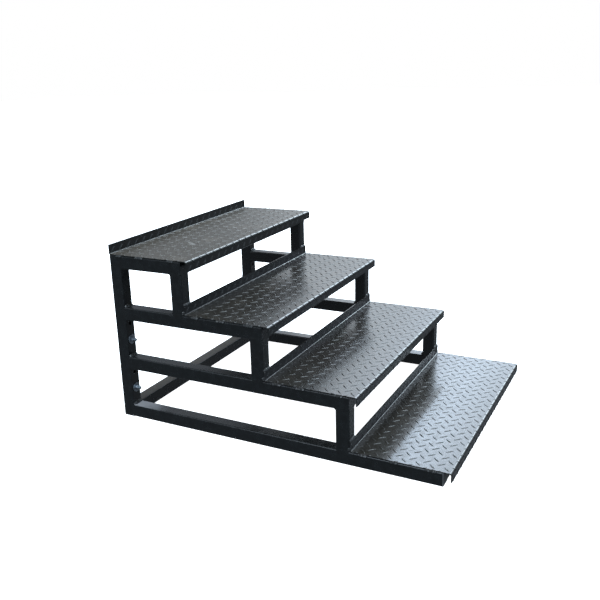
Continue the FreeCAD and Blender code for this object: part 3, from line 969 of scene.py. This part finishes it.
def scrape_mark(tree, x, y, length, width, turn):
    """Mask of one scrape: a ragged ellipse on the tread, centred at x, y and turned about Z."""
    place = add(tree, "ShaderNodeTexCoord").outputs["Object"]
    frame_of_scrape = {
        "Location": (x, y, 0.0), "Rotation": (0.0, 0.0, turn), "Scale": (length / 2, width / 2, 1.0)}
    mapping = add(tree, "ShaderNodeMapping", frame_of_scrape, {"Vector": place}, vector_type="TEXTURE")
    parts = split(tree, mapping.outputs["Vector"])
    squares = [product(tree, parts[axis], parts[axis]) for axis in ("X", "Y")]
    inside = spread(tree, arithmetic(tree, "ADD", *squares), 1.0, 0.3)
    return product(tree, inside, spread(tree, noise(tree, 220.0, 4.0, 0.7), 0.4, 0.6))


def painted_steel(name, finish, gloss, dust, everywhere=0.05, evenness=0.5, rub_mask=None, rub=0.5,
                  waves=0.6, scuffs=0.3, settled=False, scrapes=()):
    """Satin black paint with mottled gloss, dust, scuffs and rubbed edges.

    rub_mask names the mesh attribute that is 1 where boots and handling rub the paint.
    """
    material, tree, shader = new_material(name)
    skin = grouped(tree, "Paint skin", Waves=waves)
    dirt = grouped(tree, "Yard dust", Amount=dust, Everywhere=everywhere, Evenness=evenness)["Mask"]
    rubbed = grouped(tree, "Scuffs", Amount=scuffs)["Mask"]
    if rub_mask:
        mask = add(tree, "ShaderNodeAttribute", attribute_name=rub_mask).outputs["Fac"]
        broken = spread(tree, noise(tree, 130.0, 4.0, 0.65), 0.45, 0.7, 0.0, rub)
        worn = product(tree, spread(tree, mask, 0.45, 1.0), broken)
        rubbed = arithmetic(tree, "MAXIMUM", worn, rubbed)
    darker = [c * 0.75 for c in finish.paint]
    lighter = [c * 1.3 for c in finish.paint]
    paint = mixed(tree, skin["Mottle"], darker, lighter)
    paint = mixed(tree, rubbed, paint, finish.rubbed)
    paint = mixed(tree, dirt, paint, finish.dust)
    if settled:
        silt, silt_colour = settled_dirt(tree)
        paint = mixed(tree, silt, paint, silt_colour)
        dirt = arithmetic(tree, "MAXIMUM", dirt, silt)
    for scrape in scrapes:
        paint = mixed(tree, scrape_mark(tree, *scrape), paint, SCRAPED)
    tree.links.new(paint, shader.inputs["Base Color"])
    rough = spread(tree, skin["Mottle"], 0.0, 1.0, *gloss)
    rough = arithmetic(tree, "ADD", rough, product(tree, dirt, 0.6), clamp=True)
    tree.links.new(rough, shader.inputs["Roughness"])
    bumped(tree, shader, skin["Height"], 0.3, 0.5 * MM)
    return material


def zinc_plate(name, finish):
    """Bright zinc: spangled colour and gloss, with dirt in random patches."""
    material, tree, shader = new_material(name)
    spangle = spread(tree, noise(tree, 260.0, 3.0, 0.6), 0.3, 0.7)
    dirt = spread(tree, noise(tree, 90.0, 4.0, 0.65), 0.52, 0.72)
    zinc = tuple(finish.zinc)
    colour = mixed(tree, spangle, [c * 0.72 for c in zinc], [min(1.0, c * 1.15) for c in zinc])
    tree.links.new(mixed(tree, dirt, colour, (0.10, 0.09, 0.08)), shader.inputs["Base Color"])
    tree.links.new(spread(tree, dirt, 0.0, 1.0, 1.0, 0.35), shader.inputs["Metallic"])
    rough = spread(tree, spangle, 0.0, 1.0, 0.24, 0.42)
    tree.links.new(rough, shader.inputs["Roughness"])
    bumped(tree, shader, spangle, 0.2, 0.2 * MM)
    return material


def tube_paint(finish):
    """The paint that all the tubes and caps share."""
    return bpy.data.materials.get("satin_black_tubes") or painted_steel(
        "satin_black_tubes", finish, (0.20, 0.28), dust=0.02, everywhere=0.02, rub_mask="edge", scuffs=0.2,
        settled=True)


# ---- operators

class MakeTubes(bpy.types.Operator):
    """Make the painted square tubes of both side frames and the cross tubes"""

    bl_idname = "mounting_block.tubes"
    bl_label = "Tubes"

    def execute(self, context):
        sizes = context.scene.block_tubes
        paint = tube_paint(context.scene.block_finish)
        for node in TUBE_NODES:
            low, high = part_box(node)
            points, faces, mask = tube_shell(low, high, sizes)
            mesh = new_mesh(node, points, faces, {"edge": mask})
            if node.endswith("rear_post"):
                mesh = drill(mesh, (low.y + high.y) / 2, sizes)
            new_piece(f"{node}_tube", mesh, paint, [node])
        return {"FINISHED"}


class MakeCaps(bpy.types.Operator):
    """Make the plates that close the open tube ends"""

    bl_idname = "mounting_block.caps"
    bl_label = "End caps"

    def execute(self, context):
        sizes = context.scene.block_tubes
        paint = tube_paint(context.scene.block_finish)
        for node in CAP_NODES:
            points, faces, mask = cap_shell(*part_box(node), sizes)
            new_piece(f"{node}_plate", new_mesh(node, points, faces, {"edge": mask}), paint,
                      [node])
        return {"FINISHED"}


class MakeTreads(bpy.types.Operator):
    """Make the folded tear-plate treads"""

    bl_idname = "mounting_block.treads"
    bl_label = "Treads"

    def execute(self, context):
        sizes = context.scene.block_treads
        finish = context.scene.block_finish
        for level, step in enumerate(STEPS):
            paint = painted_steel(
                f"satin_black_{step}_tread", finish, (0.16, 0.21), dust=TREAD_DUST[level], evenness=0.7,
                rub_mask="lug", rub=0.3, waves=0.25, scuffs=0.2,
                scrapes=SCRAPES if step == "top" else ())
            mesh = tread_mesh(f"{step}_tread_plate", sizes, *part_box(f"{step}_tread"))
            new_piece(f"{step}_tread_plate", mesh, paint, [f"{step}_tread"])
        return {"FINISHED"}


class MakeWelds(bpy.types.Operator):
    """Make the weld beads of the frames, the cross tubes and the treads"""

    bl_idname = "mounting_block.welds"
    bl_label = "Welds"

    def execute(self, context):
        sizes = context.scene.block_welds
        paint = painted_steel(
            "satin_black_welds", context.scene.block_finish, (0.18, 0.28), dust=0.10, waves=0.0)
        for side in SIDES:
            bead_piece(f"{side}_frame_welds", side_frame_beads(side, sizes), sizes, paint)
        bead_piece("cross_tube_welds", cross_tube_beads(sizes), sizes, paint)
        for step in STEPS:
            bead_piece(f"{step}_tread_welds", tread_beads(step, sizes), sizes, paint)
        return {"FINISHED"}


class MakeFasteners(bpy.types.Operator):
    """Make the zinc-plated bolts, nuts and washers of the rear posts"""

    bl_idname = "mounting_block.fasteners"
    bl_label = "Bolts, nuts and washers"

    def execute(self, context):
        sizes = context.scene.block_fasteners
        zinc = zinc_plate("bright_zinc", context.scene.block_finish)
        places = bolt_places()
        hole = sizes.washer_hole / 2
        turns = np.random.default_rng(7).uniform(0, math.pi / 3, 2 * len(places))
        bolt_turns, nut_turns = turns[:len(places)], turns[len(places):]
        for name in ("fixing_bolts", "fixing_nuts", "head_washers", "nut_washers"):
            low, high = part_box(name)
            height = high.x - low.x
            if name == "fixing_bolts":
                shells = [bolt_shell(sizes, low.x, high.x, *pair) for pair in zip(places, bolt_turns)]
            elif name == "fixing_nuts":
                shells = [nut_shell(sizes, low.x, height, *pair) for pair in zip(places, nut_turns)]
            else:
                radius = disc_radius(name)
                shells = [washer_shell(radius, hole, height, low.x, place) for place in places]
            new_piece(f"zinc_{name}", new_mesh(name, *joined(shells)), zinc, [name])
        return {"FINISHED"}


class MakeStage(bpy.types.Operator):
    """Make the pale floor, the soft light and the camera"""

    bl_idname = "mounting_block.stage"
    bl_label = "Stage"

    def execute(self, context):
        settings = context.scene.block_stage
        half = settings.floor / 2
        mesh = bpy.data.meshes.new("floor")
        mesh.from_pydata([(-half, -half, 0), (half, -half, 0), (half, half, 0), (-half, half, 0)], [],
                         [(0, 1, 2, 3)])
        floor = bpy.data.objects.new("floor", mesh)
        context.scene.collection.objects.link(floor)
        material, _, shader = new_material("floor")
        looks = {
            "Base Color": (*settings.floor_colour, 1.0), "Roughness": 1.0, "Specular IOR Level": 0.0,
            "Emission Color": WHITE, "Emission Strength": settings.floor_glow,
        }
        for key, value in looks.items():
            shader.inputs[key].default_value = value
        mesh.materials.append(material)
        floor.visible_glossy = floor.visible_diffuse = floor.visible_shadow = False
        make_sky(context.scene, settings)
        make_camera(context.scene, settings)
        context.scene.view_settings.view_transform = "Standard"
        return {"FINISHED"}


def make_sky(scene, settings):
    """An overcast sky for the light, over dark ground, which the camera sees as plain white.

    Its tone follows 0.8 x + 0.4 z + 0.4 of a direction, which grows from the rear to the front. Trees
    cover the rear and reach further forward with height. High up, the light is half as strong again.
    """
    world = scene.world or bpy.data.worlds.new("Sky")
    scene.world = world
    world.use_nodes = True
    tree = world.node_tree
    tree.nodes.clear()
    parts = split(tree, add(tree, "ShaderNodeTexCoord").outputs["Generated"])
    slope = arithmetic(tree, "ADD", product(tree, parts["X"], 0.8), product(tree, parts["Z"], 0.4))
    place = arithmetic(tree, "ADD", slope, 0.4)
    ramp = add(tree, "ShaderNodeValToRGB", None, {"Fac": place})
    elements = ramp.color_ramp.elements
    for _ in SKY_TONES[2:]:
        elements.new(0.5)
    for element, (position, colour) in zip(elements, SKY_TONES):
        element.position = position
        element.color = (*colour, 1.0)
    slanted = arithmetic(tree, "SUBTRACT", place, product(tree, parts["Z"], 0.8))
    sky = mixed(tree, spread(tree, slanted, -0.115, -0.065), TREES, ramp.outputs["Color"])
    light = mixed(tree, spread(tree, parts["Z"], 0.0, 0.38), GROUND, sky)
    strength = product(tree, spread(tree, parts["Z"], 0.37, 0.47, 1.0, 1.5), settings.sky_strength)
    background = add(tree, "ShaderNodeBackground", None, {"Color": light, "Strength": strength})
    white = add(tree, "ShaderNodeBackground", {"Color": WHITE, "Strength": 1.0})
    seen = add(tree, "ShaderNodeLightPath").outputs["Is Camera Ray"]
    mix = add(tree, "ShaderNodeMixShader", None,
              {0: seen, 1: background.outputs["Background"], 2: white.outputs["Background"]})
    output = add(tree, "ShaderNodeOutputWorld")
    tree.links.new(mix.outputs["Shader"], output.inputs["Surface"])


def make_camera(scene, settings):
    """The camera looks across the block, turned by yaw, pitch and roll."""
    data = bpy.data.cameras.new("camera")
    data.sensor_width = 36.0
    data.lens = settings.lens
    data.shift_x = settings.shift
    camera = bpy.data.objects.new("camera", data)
    scene.collection.objects.link(camera)
    turn = (Matrix.Rotation(settings.yaw, 4, "Z") @ Matrix.Rotation(QUARTER - settings.pitch, 4, "X")
            @ Matrix.Rotation(settings.roll, 4, "Z"))
    camera.matrix_world = Matrix.Translation(settings.camera_place) @ turn
    scene.camera = camera


class BlockPanel(bpy.types.Panel):
    """Lists the mounting block's pieces and their sizes"""

    bl_idname = "VIEW3D_PT_mounting_block"
    bl_label = "Mounting block"
    bl_space_type = "VIEW_3D"
    bl_region_type = "UI"
    bl_category = "Mounting block"

    def draw(self, context):
        layout = self.layout
        for operator in OPERATORS:
            layout.operator(operator.bl_idname)
        for name in SETTINGS:
            box = layout.box()
            group = getattr(context.scene, name)
            for key in group.__annotations__:
                box.prop(group, key)


SETTINGS = {
    "block_tubes": TubeSettings,
    "block_treads": TreadSettings,
    "block_welds": WeldSettings,
    "block_fasteners": FastenerSettings,
    "block_finish": FinishSettings,
    "block_stage": StageSettings,
}
OPERATORS = (MakeTubes, MakeCaps, MakeTreads, MakeWelds, MakeFasteners, MakeStage)


def register():
    """Registers the settings, the operators and the panel."""
    for name, group in SETTINGS.items():
        bpy.utils.register_class(group)
        setattr(bpy.types.Scene, name, PointerProperty(type=group))
    for operator in OPERATORS:
        bpy.utils.register_class(operator)
    bpy.utils.register_class(BlockPanel)


def unregister():
    """Takes away what register added."""
    bpy.utils.unregister_class(BlockPanel)
    for operator in reversed(OPERATORS):
        bpy.utils.unregister_class(operator)
    for name, group in reversed(SETTINGS.items()):
        delattr(bpy.types.Scene, name)
        bpy.utils.unregister_class(group)


def main():
    register()
    bpy.ops.mounting_block.tubes()
    bpy.ops.mounting_block.caps()
    bpy.ops.mounting_block.treads()
    bpy.ops.mounting_block.welds()
    bpy.ops.mounting_block.fasteners()
    bpy.ops.mounting_block.stage()


if __name__ == "__main__":
    main()
